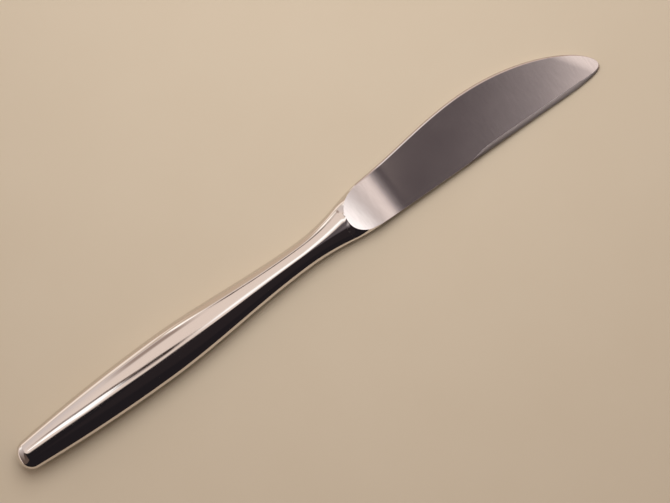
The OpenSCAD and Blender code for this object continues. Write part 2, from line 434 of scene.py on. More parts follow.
@dataclass(frozen=True)
class SilverBraze(Finish):
    """Silver brazing alloy, filed flush and polished over with the shells.

    A hairline a little yellower and duller than the steel, with small pits where it cooled. The
    band gives the values of the pits' noise at which they start and are full.
    """

    name: str = "silver_braze_filed_flush"
    colour: str = "#d8ceb6"
    pit_colour: str = "#a3967c"
    pit_size: float = 0.25
    pit_band: Band = (0.55, 0.8)
    roughness: float = 0.22

    def surface(self, tree: bpy.types.NodeTree, place: bpy.types.NodeSocket) -> Inputs:
        """Add the pits.

        Args:
            tree: the material's tree.
            place: the place on the piece.

        Returns:
            What the shader's inputs get.
        """
        pits = add_node(
            tree,
            "ShaderNodeTexNoise",
            inputs={"Vector": place, "Scale": 1 / (self.pit_size * MM), "Detail": 3.0},
        )
        start, full = self.pit_band
        shade = add_node(
            tree,
            "ShaderNodeMapRange",
            inputs={"Value": pits.outputs[0], "From Min": start, "From Max": full},
        )
        colour = add_node(
            tree,
            "ShaderNodeMix",
            {"data_type": "RGBA"},
            {0: shade.outputs[0], 6: linear(self.colour), 7: linear(self.pit_colour)},
        )
        return {
            "Base Color": colour.outputs[2],
            "Metallic": 1.0,
            "Roughness": self.roughness,
        }


@dataclass(frozen=True)
class SettingCement(Finish):
    """Resin and brick-dust cement, poured hot round the tang.

    Dull and brown, with the dust's grain in it.
    """

    name: str = "resin_cement_poured"
    colour: str = "#8b7355"
    dust_colour: str = "#b09a7c"
    grain: float = 0.4
    roughness: float = 0.85

    def surface(self, tree: bpy.types.NodeTree, place: bpy.types.NodeSocket) -> Inputs:
        """Add the dust's grain.

        Args:
            tree: the material's tree.
            place: the place on the piece.

        Returns:
            What the shader's inputs get.
        """
        grain = add_node(
            tree,
            "ShaderNodeTexNoise",
            inputs={"Vector": place, "Scale": 1 / (self.grain * MM), "Detail": 6.0},
        ).outputs[0]
        colour = add_node(
            tree,
            "ShaderNodeMix",
            {"data_type": "RGBA"},
            {0: grain, 6: linear(self.colour), 7: linear(self.dust_colour)},
        )
        bump = add_node(
            tree,
            "ShaderNodeBump",
            inputs={"Strength": 0.6, "Distance": self.grain * MM / 4, "Height": grain},
        )
        return {
            "Base Color": colour.outputs[2],
            "Roughness": self.roughness,
            "Normal": bump.outputs[0],
        }


@dataclass(frozen=True)
class PaleBoard(Finish):
    """Uncoated beige board, rolled smooth, as a plain floor under the knife.

    Matt and even, with clouds in its colour that hardly show.
    """

    name: str = "beige_board_uncoated"
    colour: str = "#cdc0ac"
    cloud_colour: str = "#c9bba6"
    cloud_size: float = 30.0
    roughness: float = 0.8

    def surface(self, tree: bpy.types.NodeTree, place: bpy.types.NodeSocket) -> Inputs:
        """Add the clouds.

        Args:
            tree: the material's tree.
            place: the place on the piece.

        Returns:
            What the shader's inputs get.
        """
        clouds = add_node(
            tree,
            "ShaderNodeTexNoise",
            inputs={"Vector": place, "Scale": 1 / (self.cloud_size * MM), "Detail": 5.0},
        )
        colour = add_node(
            tree,
            "ShaderNodeMix",
            {"data_type": "RGBA"},
            {0: clouds.outputs[0], 6: linear(self.colour), 7: linear(self.cloud_colour)},
        )
        return {
            "Base Color": colour.outputs[2],
            "Roughness": self.roughness,
            "Specular IOR Level": 0.2,
        }


@dataclass(frozen=True)
class HandleForm:
    """Outer form of the handle, from the butt to the mouth that takes the blade."""

    length: float = 115.5
    swell_at: float = 50.5
    flare: float = 14.5
    butt_width: float = 8.3
    butt_thickness: float = 5.2
    butt_radius: float = 3.6
    swell_width: float = 13.4
    swell_thickness: float = 6.8
    neck_width: float = 8.2
    neck_thickness: float = 5.6
    mouth_width: float = 11.4
    mouth_thickness: float = 5.0
    fullness: float = 2.2
    drop: float = 1.3
    neck_height: float = 5.75
    mouth_height: float = 6.4

    @property
    def power(self) -> float:
        """Power of the oval section's sine and cosine."""
        return 2 / self.fullness

    @property
    def neck_at(self) -> float:
        """Distance from the butt to the narrowest place."""
        return self.length - self.flare

    @property
    def fall(self) -> float:
        """Slope at which the handle falls away from the line of the cutting edge."""
        return math.tan(math.radians(self.drop))

    @property
    def bend(self) -> float:
        """Rise of the axis between the neck and the mouth beyond its straight run."""
        return self.mouth_height - self.neck_height - self.flare * self.fall

    @property
    def mouth_slopes(self) -> tuple[float, float]:
        """Slopes of the outline at the mouth.

        Returns:
            The slope on the side of the spine and the one on the side of the edge.
        """
        axis = self.fall + 2 * self.bend / self.flare
        flare = (self.mouth_width - self.neck_width) / self.flare
        return axis + flare, axis - flare

    @property
    def mouth_gain(self) -> float:
        """Share of the thickness gained at the mouth for each millimetre of length."""
        return 2 * (self.mouth_thickness - self.neck_thickness) / self.flare / self.mouth_thickness

    def along(self, x: float, sizes: tuple[float, float, float, float]) -> float:
        """Size at a place along the handle.

        Args:
            x: distance from the butt.
            sizes: the size at the butt, the swell, the neck and the mouth.

        Returns:
            The size there, before the butt is rounded.
        """
        butt, swell, neck, mouth = sizes
        if x < self.swell_at:
            return swell - (swell - butt) * (1 - x / self.swell_at) ** 2
        if x < self.neck_at:
            return mix(swell, neck, smooth((x - self.swell_at) / (self.neck_at - self.swell_at)))
        return neck + (mouth - neck) * ((x - self.neck_at) / self.flare) ** 2

    def butt_share(self, x: float) -> float:
        """Share of the section that the rounding of the butt leaves."""
        u = max(0.0, 1 - x / self.butt_radius)
        return 1 - 2 * self.butt_radius / self.butt_width * (1 - math.sqrt(1 - u * u))

    def half_width(self, x: float) -> float:
        """Half of the width at a place along the handle."""
        sizes = (self.butt_width, self.swell_width, self.neck_width, self.mouth_width)
        return self.along(x, sizes) * self.butt_share(x) / 2

    def half_thickness(self, x: float) -> float:
        """Half of the thickness at a place along the handle."""
        sizes = (
            self.butt_thickness,
            self.swell_thickness,
            self.neck_thickness,
            self.mouth_thickness,
        )
        return self.along(x, sizes) * self.butt_share(x) / 2

    def axis(self, x: float) -> float:
        """Height of the axis above the line of the cutting edge."""
        past_neck = max(0.0, x - self.neck_at) / self.flare
        return self.neck_height + (x - self.neck_at) * self.fall + self.bend * past_neck**2

    def oval(self, width: float, thickness: float, angle: float) -> tuple[float, float]:
        """Point of an oval section.

        Args:
            width: half of the oval's width.
            thickness: half of the oval's thickness.
            angle: angle from the spine's side, in radians, up to half a turn.

        Returns:
            Place across and height.
        """
        across, up = math.cos(angle), max(0.0, math.sin(angle))
        far = math.copysign(width * abs(across) ** self.power, across)
        return far, thickness * up**self.power


@dataclass(frozen=True)
class Lay:
    """How the knife lies in the frame: its tilt, tip down, and where the design's origin is."""

    tilt: float
    origin: Vector

    @classmethod
    def from_frame(cls, length: float, gap: float) -> "Lay":
        """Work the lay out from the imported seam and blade.

        Args:
            length: length of the handle.
            gap: thickness of the brazed seam, a flat strip as long as the handle.

        Returns:
            The lay.
        """
        low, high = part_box("seam_braze")
        rise = (high.z - low.z) / MM
        tilt = math.asin(rise / math.hypot(length, gap)) - math.atan2(gap, length)
        half = gap / 2 * MM
        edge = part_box("blade")[0].y
        origin = Vector((low.x + half * math.sin(tilt), edge, high.z - half * math.cos(tilt)))
        return cls(tilt, origin)

    def matrix(self) -> Matrix:
        """Placing of a mesh drawn in metres in the design frame."""
        return Matrix.Translation(self.origin) @ Matrix.Rotation(self.tilt, 4, "Y")


@dataclass(frozen=True)
class HalfShell:
    """One pressed half shell of the handle, lofted over stations along its length."""

    form: HandleForm
    lay: Lay
    side: Side
    finish: bpy.types.Material
    wall: float = 0.8
    gap: float = 0.1
    rim_break: float = 0.008
    butt_steps: int = 22
    body_steps: int = 170
    half_steps: int = 88
    sharp_angle: float = 40.0

    MERGE_DISTANCE: ClassVar[float] = 0.001

    def stations(self) -> tuple[list[Point], list[Point]]:
        """Sizes along the shell: place along the handle, half width and half thickness.

        Returns:
            The outer stations and the inner ones, in pairs from the butt to the mouth. The first
            pair closes the butt and the last one closes the rim of the mouth.
        """
        form = self.form
        end = form.length
        turns = [math.pi / 2 * i / self.butt_steps for i in range(self.butt_steps)]
        places = [form.butt_radius * (1 - math.cos(turn)) for turn in turns]
        places += [
            mix(form.butt_radius, end - self.rim_break, i / self.body_steps)
            for i in range(self.body_steps + 1)
        ]
        outer = [(0.0, 0.0, 0.0)]
        inner = [(self.wall, 0.0, 0.0)]
        for x in places:
            hollow = mix(self.wall, form.butt_radius, min(1.0, x / form.butt_radius))
            inside = max(x, hollow)
            outer.append(self.inset(x, 0.0))
            inner.append(self.inset(inside, self.wall))
        outer += [self.inset(end, self.rim_break), self.inset(end, self.wall / 2)]
        inner += [self.inset(end, self.wall), self.inset(end, self.wall / 2)]
        return outer, inner

    def inset(self, x: float, depth: float) -> Point:
        """Station at a place along the handle.

        Args:
            x: distance from the butt.
            depth: depth inside the handle's surface.

        Returns:
            The place, the half width and the half thickness above the rim.
        """
        form = self.form
        rim = self.gap / 2
        return x, form.half_width(x) - depth, form.half_thickness(x) - depth - rim

    def station_mesh(self) -> bpy.types.Mesh:
        """Points for the loft, with the half sizes as an attribute.

        Returns:
            A mesh of points: all outer stations, then all inner ones.
        """
        outer, inner = self.stations()
        rows = outer + inner
        mesh = bpy.data.meshes.new(f"shell_{self.side.name.lower()}_stations")
        mesh.from_pydata([(x * MM, self.form.axis(x) * MM, 0.0) for x, _, _ in rows], [], [])
        sizes = mesh.attributes.new("half_size", "FLOAT_VECTOR", "POINT")
        for size, (_, width, thickness) in zip(sizes.data, rows):
            size.vector = (0.0, width * MM, thickness * MM)
        return mesh

    @classmethod
    def loft_tree(cls) -> bpy.types.NodeTree:
        """Tree that lofts a closed half shell over its stations.

        A grid has a row for each station and, across it, a ring: over the outside of the oval and
        back along the inside. Merging closes the ring, the butt and the rim of the mouth.

        Returns:
            The tree.
        """
        tree = bpy.data.node_groups.new("half_shell_loft", "GeometryNodeTree")
        tree.interface.new_socket("Shell", in_out="OUTPUT", socket_type="NodeSocketGeometry")
        kinds = {
            "Stations": "NodeSocketGeometry",
            "Half steps": "NodeSocketInt",
            "Oval power": "NodeSocketFloat",
            "Rim height": "NodeSocketFloat",
            "Side": "NodeSocketFloat",
            "Finish": "NodeSocketMaterial",
        }
        for name, kind in kinds.items():
            tree.interface.new_socket(name, in_out="INPUT", socket_type=kind)
        given = add_node(tree, "NodeGroupInput").outputs
        whole, real = "FunctionNodeIntegerMath", "ShaderNodeMath"
        points = add_node(
            tree,
            "GeometryNodeAttributeDomainSize",
            {"component": "MESH"},
            {"Geometry": given["Stations"]},
        ).outputs["Point Count"]
        rows = add_node(tree, whole, {"operation": "DIVIDE"}, {0: points, 1: 2}).outputs[0]
        last = add_node(
            tree, whole, {"operation": "MULTIPLY_ADD"}, {0: given["Half steps"], 1: 2, 2: 1}
        ).outputs[0]
        ring = add_node(tree, whole, {"operation": "ADD"}, {0: last, 1: 1}).outputs[0]
        columns = add_node(tree, whole, {"operation": "ADD"}, {0: last, 1: 2}).outputs[0]
        grid = add_node(
            tree,
            "GeometryNodeMeshGrid",
            inputs={"Size X": 1.0, "Size Y": 1.0, "Vertices X": rows, "Vertices Y": columns},
        )
        index = add_node(tree, "GeometryNodeInputIndex").outputs[0]
        row = add_node(tree, whole, {"operation": "DIVIDE"}, {0: index, 1: columns}).outputs[0]
        column = add_node(tree, whole, {"operation": "MODULO"}, {0: index, 1: columns}).outputs[0]
        step = add_node(tree, whole, {"operation": "MODULO"}, {0: column, 1: ring}).outputs[0]
        back = add_node(tree, whole, {"operation": "SUBTRACT"}, {0: last, 1: step}).outputs[0]
        place = add_node(tree, whole, {"operation": "MINIMUM"}, {0: step, 1: back}).outputs[0]
        inside = add_node(
            tree,
            "FunctionNodeCompare",
            {"data_type": "INT", "operation": "GREATER_THAN"},
            {"A": step, "B": given["Half steps"]},
        )
        station = add_node(
            tree,
            whole,
            {"operation": "MULTIPLY_ADD"},
            {0: inside.outputs[0], 1: rows, 2: row},
        ).outputs[0]
        angle = add_node(
            tree,
            "ShaderNodeMapRange",
            {"clamp": False},
            {
                "Value": place,
                "From Max": given["Half steps"],
                "To Min": math.pi,
                "To Max": 0.0,
            },
        ).outputs[0]
        power = given["Oval power"]
        cosine = add_node(tree, real, {"operation": "COSINE"}, {0: angle}).outputs[0]
        sine = add_node(tree, real, {"operation": "SINE"}, {0: angle}).outputs[0]
        width = add_node(tree, real, {"operation": "ABSOLUTE"}, {0: cosine}).outputs[0]
        height = add_node(tree, real, {"operation": "ABSOLUTE"}, {0: sine}).outputs[0]
        sign = add_node(tree, real, {"operation": "SIGN"}, {0: cosine}).outputs[0]
        far = add_node(tree, real, {"operation": "POWER"}, {0: width, 1: power}).outputs[0]
        across = add_node(tree, real, {"operation": "MULTIPLY"}, {0: far, 1: sign}).outputs[0]
        up = add_node(tree, real, {"operation": "POWER"}, {0: height, 1: power}).outputs[0]
        oval = add_node(tree, "ShaderNodeCombineXYZ", inputs={"Y": across, "Z": up}).outputs[0]
        rim = add_node(tree, "ShaderNodeCombineXYZ", inputs={"Z": given["Rim height"]}).outputs[0]
        half_size = add_node(
            tree,
            "GeometryNodeInputNamedAttribute",
            {"data_type": "FLOAT_VECTOR"},
            {"Name": "half_size"},
        ).outputs[0]
        sampled = {"data_type": "FLOAT_VECTOR", "domain": "POINT"}
        size = add_node(
            tree,
            "GeometryNodeSampleIndex",
            sampled,
            {"Geometry": given["Stations"], "Value": half_size, "Index": station},
        ).outputs[0]
        centre = add_node(
            tree,
            "GeometryNodeSampleIndex",
            sampled,
            {
                "Geometry": given["Stations"],
                "Value": add_node(tree, "GeometryNodeInputPosition").outputs[0],
                "Index": station,
            },
        ).outputs[0]
        reach = add_node(
            tree, "ShaderNodeVectorMath", {"operation": "MULTIPLY_ADD"}, {0: size, 1: oval, 2: rim}
        ).outputs[0]
        surface = add_node(
            tree,
            "ShaderNodeVectorMath",
            {"operation": "MULTIPLY_ADD"},
            {0: reach, 1: given["Side"], 2: centre},
        ).outputs[0]
        placed = add_node(
            tree,
            "GeometryNodeSetPosition",
            inputs={"Geometry": grid.outputs["Mesh"], "Position": surface},
        )
        closed = add_node(
            tree,
            "GeometryNodeMergeByDistance",
            inputs={"Geometry": placed.outputs[0], "Distance": cls.MERGE_DISTANCE * MM},
        )
        shaded = add_node(
            tree, "GeometryNodeSetShadeSmooth", inputs={"Geometry": closed.outputs[0]}
        )
        realized = add_node(
            tree, "GeometryNodeRealizeInstances", inputs={"Geometry": shaded.outputs[0]}
        )
        dressed = add_node(
            tree,
            "GeometryNodeSetMaterial",
            inputs={"Geometry": realized.outputs[0], "Material": given["Finish"]},
        )
        add_node(tree, "NodeGroupOutput", inputs={"Shell": dressed.outputs[0]})
        return tree

    def build(self, tree: bpy.types.NodeTree) -> bpy.types.Object:
        """Loft the shell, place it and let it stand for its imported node.

        Args:
            tree: the tree that lofts a half shell.

        Returns:
            The finished piece.
        """
        name = f"shell_{self.side.name.lower()}"
        piece = bpy.data.objects.new(name, self.station_mesh())
        bpy.context.scene.collection.objects.link(piece)
        loft = piece.modifiers.new("loft", "NODES")
        loft.node_group = tree
        values = {
            "Half steps": self.half_steps,
            "Oval power": self.form.power,
            "Rim height": self.gap / 2 * MM,
            "Side": float(self.side.value),
            "Finish": self.finish,
        }
        for item in tree.interface.items_tree:
            if item.in_out == "INPUT" and item.name in values:
                loft[item.identifier] = values[item.name]
        evaluated = piece.evaluated_get(bpy.context.evaluated_depsgraph_get())
        mesh = bpy.data.meshes.new_from_object(evaluated)
        piece.modifiers.remove(loft)
        piece.data = mesh
        mesh.transform(self.lay.matrix())
        mesh.set_sharp_from_angle(angle=math.radians(self.sharp_angle))
        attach(piece, "root")
        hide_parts(f"handle_{name}")
        return piece


@dataclass(frozen=True)
class Blade:
    """Blade with its bolster, plug and tang, one forging."""

    form: HandleForm
    lay: Lay
    finishes: dict[BladeFinish, bpy.types.Material]
    length: float = 85.2
    heel_at: float = 12.0
    heel_width: float = 14.2
    heel_rise: float = 0.09
    belly_at: float = 47.0
    belly_width: float = 18.0
    tip_height: float = 3.4
    tip_turn: float = 12.0
    turn_fullness: float = 9.0
    tip_fullness: float = 3.0
    tip_land: float = 0.15
    spine_thickness: float = 1.9
    edge_thickness: float = 0.9
    tip_thickness: float = 0.8
    spine_radius: float = 0.45
    round_share: float = 0.7
    bevel_width: float = 1.4
    bevel_at_tip: float = 0.5
    bevel_fade: float = 10.0
    bevel_roll: float = 1.8
    dull_width: float = 0.15
    sharp_thickness: float = 0.16
    sharp_at: float = 38.0
    sharp_fade: float = 9.0
    grind_at: float = 1.3
    grind_depth: float = 7.4
    grind_fullness: float = 2.4
    bolster_fall: float = 24.0
    bolster_rise: float = 2.0
    ramp_angle: float = 10.5
    ramp_blend: float = 10.0
    corner_at: float = 11.4
    corner_lean: float = 36.0
    corner_radius: float = 54.0
    wall: float = 0.8
    plug_length: float = 4.0
    plug_gap: float = 0.05
    rim_break: float = 0.008
    tang_length: float = 58.0
    tang_taper: float = 0.7
    tang_room: float = 0.85
    notch_depth: float = 0.5
    notch_length: float = 2.0
    notch_count: int = 4
    bolster_steps: int = 18
    run_steps: int = 28
    flat_steps: int = 150
    face_steps: int = 48
    round_steps: int = 6
    bevel_steps: int = 6
    sharp_angle: float = 35.0

    UV_NAME: ClassVar[str] = "along_the_blade"

    @property
    def tip_x(self) -> float:
        """Place of the tip."""
        return self.form.length + self.length

    @property
    def heel_x(self) -> float:
        """Place of the heel."""
        return self.form.length + self.heel_at

    @property
    def belly_x(self) -> float:
        """Place where the blade is widest."""
        return self.form.length + self.belly_at

    @property
    def shoulder(self) -> int:
        """Steps of half a section down the spine, round its edge and over the face to the bevel."""
        return 1 + self.round_steps + self.face_steps

    @property
    def half_steps(self) -> int:
        """Steps of half a section, with the bevel and the flat of the cutting edge."""
        return self.shoulder + self.bevel_steps + 1

    @property
    def wedge_side(self) -> float:
        """Slope of the blade's face from the spine down to the cutting edge."""
        return (self.spine_thickness - self.edge_thickness) / 2 / self.heel_width

    def spine_y(self, x: float) -> float:
        """Outline of the spine.

        Args:
            x: place along the knife.

        Returns:
            The spine's place across the knife.
        """
        form = self.form
        if x < self.heel_x:
            start = (form.length, form.mouth_height + form.mouth_width / 2, form.mouth_slopes[0])
            return cubic(x, start, (self.heel_x, self.heel_width, self.heel_rise))
        if x < self.belly_x:
            start = (self.heel_x, self.heel_width, self.heel_rise)
            return cubic(x, start, (self.belly_x, self.belly_width, 0.0))
        s = min(1.0, (x - self.belly_x) / (self.tip_x - self.belly_x))
        rise = (self.belly_width - self.tip_height) * (1 - s * s) ** (2 / self.tip_fullness)
        return self.tip_height + max(self.tip_land, rise)

    def edge_y(self, x: float) -> float:
        """Outline of the cutting edge.

        Args:
            x: place along the knife.

        Returns:
            The edge's place across the knife, 0 where it is straight.
        """
        form = self.form
        if x < self.heel_x:
            start = (form.length, form.mouth_height - form.mouth_width / 2, form.mouth_slopes[1])
            return cubic(x, start, (self.heel_x, 0.0, 0.0))
        s = max(0.0, min(1.0, 1 - (self.tip_x - x) / self.tip_turn))
        rise = self.tip_height * (1 - (1 - s * s) ** (2 / self.turn_fullness))
        return min(self.tip_height - self.tip_land, rise)

    def half_width(self, x: float) -> float:
        """Half of the width from edge to spine."""
        return (self.spine_y(x) - self.edge_y(x)) / 2

    def middle_y(self, x: float) -> float:
        """Middle between edge and spine."""
        return (self.spine_y(x) + self.edge_y(x)) / 2

    def wedge_z(self, x: float, y: float) -> float:
        """Half thickness of the flat wedge of the blade.

        Args:
            x: place along the knife.
            y: place across it.

        Returns:
            The half thickness there.
        """
        side = self.wedge_side
        at_tip = self.edge_thickness / 2 + side * self.tip_height - self.tip_thickness / 2
        taper = at_tip / (self.tip_x - self.heel_x)
        return self.edge_thickness / 2 + side * y - taper * (x - self.heel_x)

    def grind_x(self, t: float) -> float:
        """Place of the grind line.

        Args:
            t: share across the blade, from -1 at the edge to 1 at the spine.

        Returns:
            The line's place along the knife.
        """
        power = self.grind_fullness
        curve = 1 - (1 - min(1.0, abs(t)) ** power) ** (1 / power)
        return self.form.length + self.grind_at + self.grind_depth * curve

    @cached_property
    def flat_x(self) -> float:
        """End of the run-out, from which the blade is flat.

        Returns:
            Its place along the knife.
        """
        form = self.form
        crest = form.mouth_thickness / 2 * (1 + form.mouth_gain * self.grind_at)
        rise = crest - self.wedge_z(self.grind_x(0), form.mouth_height)
        ramp = rise / math.tan(math.radians(self.ramp_angle))
        return self.grind_x(0) + math.sqrt(ramp * (ramp + 2 * self.ramp_blend))

    def ramp_z(self, x: float) -> float:
        """Rise of the run-out above the flat, a ramp that starts in a hollow.

        Args:
            x: place along the knife.

        Returns:
            The rise there, 0 on the flat.
        """
        run = max(0.0, self.flat_x - x)
        slope = math.tan(math.radians(self.ramp_angle))
        return slope * (math.hypot(run, self.ramp_blend) - self.ramp_blend)

    @cached_property
    def corner(self) -> tuple[float, float]:
        """Place on the spine where the rounding of the tip's corner starts."""
        x = self.tip_x - self.corner_at
        return x, self.spine_y(x)

    def corner_fall(self, x: float, y: float) -> float:
        """Fall of the face where the tip's corner is rounded off.

        Args:
            x: place along the knife.
            y: place across it.

        Returns:
            The fall there, 0 outside the corner.
        """
        lean = math.radians(self.corner_lean)
        past = (x - self.corner[0]) * math.cos(lean) + (y - self.corner[1]) * math.sin(lean)
        return max(0.0, past) ** 2 / 2 / self.corner_radius

    def face_z(self, x: float, y: float) -> float:
        """Half thickness of the ground blade, with its run-out and its rounded-off tip."""
        return self.wedge_z(x, y) + self.ramp_z(x) - self.corner_fall(x, y)

    def sharp(self, x: float) -> float:
        """Share of the bevel that is ground at a place along the blade."""
        return smooth((x - self.form.length - self.sharp_at) / self.sharp_fade)

    def bevel_at(self, x: float) -> float:
        """Width of the bevel, or of the dulled edge, which runs out towards the tip."""
        full = mix(self.bevel_at_tip, self.bevel_width, smooth((self.tip_x - x) / self.bevel_fade))
        return min(mix(self.dull_width, full, self.sharp(x)), self.half_width(x) / 2)

    def edge_z(self, x: float) -> float:
        """Half thickness left at the cutting edge."""
        dull = self.face_z(x, self.edge_y(x)) - self.dull_width
        return mix(dull, self.sharp_thickness / 2, self.sharp(x))

    def round_radius(self, x: float) -> float:
        """Radius of the spine's rounded edges, which shrinks with the blade at the tip."""
        thickness = self.face_z(x, self.spine_y(x)) * self.round_share
        return min(self.spine_radius, self.half_width(x) / 2, thickness)

    def place_x(self, s: float, t: float) -> float:
        """Place of a section along the blade.

        Args:
            s: 0 at the grind line, 1 where the flat starts and 2 at the tip.
            t: share across the blade, from -1 at the edge to 1 at the spine.

        Returns:
            The place along the knife.
        """
        if s < 1:
            return mix(self.grind_x(t), self.flat_x, s)
        return mix(self.flat_x, self.tip_x, s - 1)

    def blade_half(self, s: float) -> list[Point]:
        """Half section of the ground blade.

        Args:
            s: place along the blade, from 0 at the grind line to 2 at the tip.

        Returns:
            Points from the middle of the spine over the face to the middle of the cutting edge.
        """
        spine, edge = self.place_x(s, 1), self.place_x(s, -1)
        radius = self.round_radius(spine)
        top = self.spine_y(spine)
        height = self.face_z(spine, top - radius)
        points = [(spine, top, 0.0)]
        for i in range(self.round_steps):
            turn = math.pi / 2 * i / self.round_steps
            y = top - radius + radius * math.cos(turn)
            points.append((spine, y, height - radius + radius * math.sin(turn)))
        for i in range(self.face_steps + 1):
            share = i / self.face_steps
            x = self.place_x(s, 1 - 2 * share)
            high = self.spine_y(x) - self.round_radius(x)
            y = mix(high, self.edge_y(x) + self.bevel_at(x), share)
            points.append((x, y, self.face_z(x, y)))
        return points + self.bevel_half(edge) + [(edge, self.edge_y(edge), 0.0)]

    def bevel_half(self, x: float) -> list[Point]:
        """Half section of the bevel, rolled from the slope of the face down to the cutting edge.

        Args:
            x: place along the knife.

        Returns:
            Points from the first one under the bevel's shoulder to the cutting edge.
        """
        width, low = self.bevel_at(x), self.edge_y(x)
        high = self.face_z(x, low + width)
        slope = self.wedge_side * width
        roll = high - self.edge_z(x) - slope
        points = []
        for i in range(1, self.bevel_steps + 1):
            share = i / self.bevel_steps
            z = high - slope * share - roll * share**self.bevel_roll
            points.append((x, low + width * (1 - share), z))
        return points

    def oval_half(self, x: float, width: float, thickness: float) -> list[Point]:
        """Half of an oval section about the handle's axis, with a point for each of the blade's.

        Args:
            x: place along the knife.
            width: half of the oval's width.
            thickness: half of the oval's thickness.

        Returns:
            Points from the spine's side over the top to the edge's side.
        """
        last = self.shoulder + 2
        steps = [float(i) for i in range(self.shoulder + 1)]
        steps += [self.shoulder + (i + 1) / self.bevel_steps for i in range(self.bevel_steps)]
        points = []
        for step in steps + [last]:
            across, up = self.form.oval(width, thickness, math.pi * step / last)
            points.append((x, self.form.axis(x) + across, up))
        return points

    def bolster_half(self, s: float, mouth: list[Point], grind: list[Point]) -> list[Point]:
        """Half section of the bolster, which carries on the slope of the handle.

        Args:
            s: share of the way from the mouth to the grind line.
            mouth: half section at the mouth.
            grind: half section at the grind line.

        Returns:
            Points between the two.
        """
        form = self.form
        points = []
        for p, q in zip(mouth, grind):
            x = mix(p[0], q[0], s)
            a = (p[1] - form.mouth_height) * 2 / form.mouth_width
            b = (q[1] - self.middle_y(q[0])) / self.half_width(q[0])
            y = self.middle_y(x) + mix(a, b, s * s) * self.half_width(x)
            gain = p[2] * form.mouth_gain * (q[0] - p[0])
            turn = q[2] - p[2] - gain
            power = self.bolster_fall if turn < 0 else self.bolster_rise
            points.append((x, y, p[2] + gain * s + turn * s**power))
        return points

    def tang_halves(self) -> list[list[Point]]:
        """Half sections of the tang, notched on both sides.

        Returns:
            The half sections from the tang's end to the plug.
        """
        form = self.form
        end = form.length - self.tang_length
        plug = form.length - self.plug_length
        pitch = (plug - end) / (self.notch_count + 1)
        inset = self.wall + self.tang_room
        places = [(end, 0.0)]
        for i in range(1, self.notch_count + 1):
            middle = end + i * pitch
            places.append((middle - self.notch_length / 2, 0.0))
            places.append((middle, self.notch_depth))
            places.append((middle + self.notch_length / 2, 0.0))
        places.append((plug, 0.0))
        halves = []
        for x, notch in places:
            taper = mix(self.tang_taper, 1.0, (x - end) / self.tang_length)
            width = (form.neck_width / 2 - inset) * taper - notch
            halves.append(self.oval_half(x, width, form.neck_thickness / 2 - inset))
        return halves

    def plug_half(self, x: float) -> list[Point]:
        """Half section of the plug, a wall and its play inside the handle's surface.

        Args:
            x: place along the knife.

        Returns:
            Points from the spine's side over the top to the edge's side.
        """
        inset = self.wall + self.plug_gap
        width = self.form.half_width(x) - inset
        return self.oval_half(x, width, self.form.half_thickness(x) - inset)

    def halves(self) -> tuple[list[list[Point]], int, int]:
        """Half sections of the whole forging, from the tang's end to the tip.

        Returns:
            The half sections, the number of the first one of the bolster and of the one on the
            grind line.
        """
        form = self.form
        rim = form.length
        width, thickness = form.mouth_width / 2, form.mouth_thickness / 2
        broken = self.oval_half(rim, width - self.rim_break, thickness - self.rim_break)
        mouth = [(x + self.rim_break, y, z) for x, y, z in self.oval_half(rim, width, thickness)]
        grind = self.blade_half(0)
        rows = self.tang_halves()
        rows += [self.plug_half(rim - self.plug_length), self.plug_half(rim)]
        first = len(rows)
        rows.append(broken)
        rows += [
            self.bolster_half(i / self.bolster_steps, mouth, grind)
            for i in range(self.bolster_steps)
        ]
        ground = len(rows)
        rows += [self.blade_half(i / self.run_steps) for i in range(self.run_steps)]
        turns = [math.pi / 2 * i / self.flat_steps for i in range(self.flat_steps + 1)]
        rows += [self.blade_half(1 + math.sin(turn)) for turn in turns]
        return rows, first, ground

    def build(self) -> bpy.types.Object:
        """Make the forging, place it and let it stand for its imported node.

        Returns:
            The finished piece.
        """
        halves, first, ground = self.halves()
        ring = 2 * self.half_steps
        points = []
        for half in halves:
            points += half + [(x, y, -z) for x, y, z in reversed(half[1:-1])]
        faces = []
        for row in range(len(halves) - 1):
            for j in range(ring):
                a, b = row * ring + j, row * ring + (j + 1) % ring
                faces.append((a, b, b + ring, a + ring))
        last = len(points) - ring
        faces.append(tuple(reversed(range(ring))))
        faces.append(tuple(range(last, last + ring)))
        mesh = bpy.data.meshes.new("knife_blade")
        mesh.from_pydata([(x * MM, y * MM, z * MM) for x, y, z in points], [], faces)
        uv = mesh.uv_layers.new(name=self.UV_NAME)
        for loop, item in zip(mesh.loops, uv.data):
            x, y, _ = points[loop.vertex_index]
            item.uv = (x / self.tip_x, y / self.tip_x)
        self.dress(mesh, ring, first, ground)
        self.crease(mesh, ring, ground)
        mesh.transform(self.lay.matrix())
        piece = bpy.data.objects.new("knife_blade", mesh)
        bpy.context.scene.collection.objects.link(piece)
        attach(piece, "root")
        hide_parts("blade")
        return piece

    def dress(self, mesh: bpy.types.Mesh, ring: int, first: int, ground: int) -> None:
        """Give the flats, the bolster and the bevels their finishes.

        Args:
            mesh: mesh of the forging.
            ring: number of points in a section.
            first: number of the bolster's first section.
            ground: number of the section on the grind line.
        """
        for finish in BladeFinish:
            mesh.materials.append(self.finishes[finish])
        bevels = {*range(self.shoulder, self.shoulder + self.bevel_steps)}
        bevels |= {ring - 1 - column for column in bevels}
        for number, polygon in enumerate(mesh.polygons):
            row, column = divmod(number, ring)
            finish = BladeFinish.SATIN
            if row >= ground and column in bevels:
                finish = BladeFinish.HONED
            elif first <= row < ground:
                finish = BladeFinish.POLISHED
            polygon.material_index = finish.value
            polygon.use_smooth = True

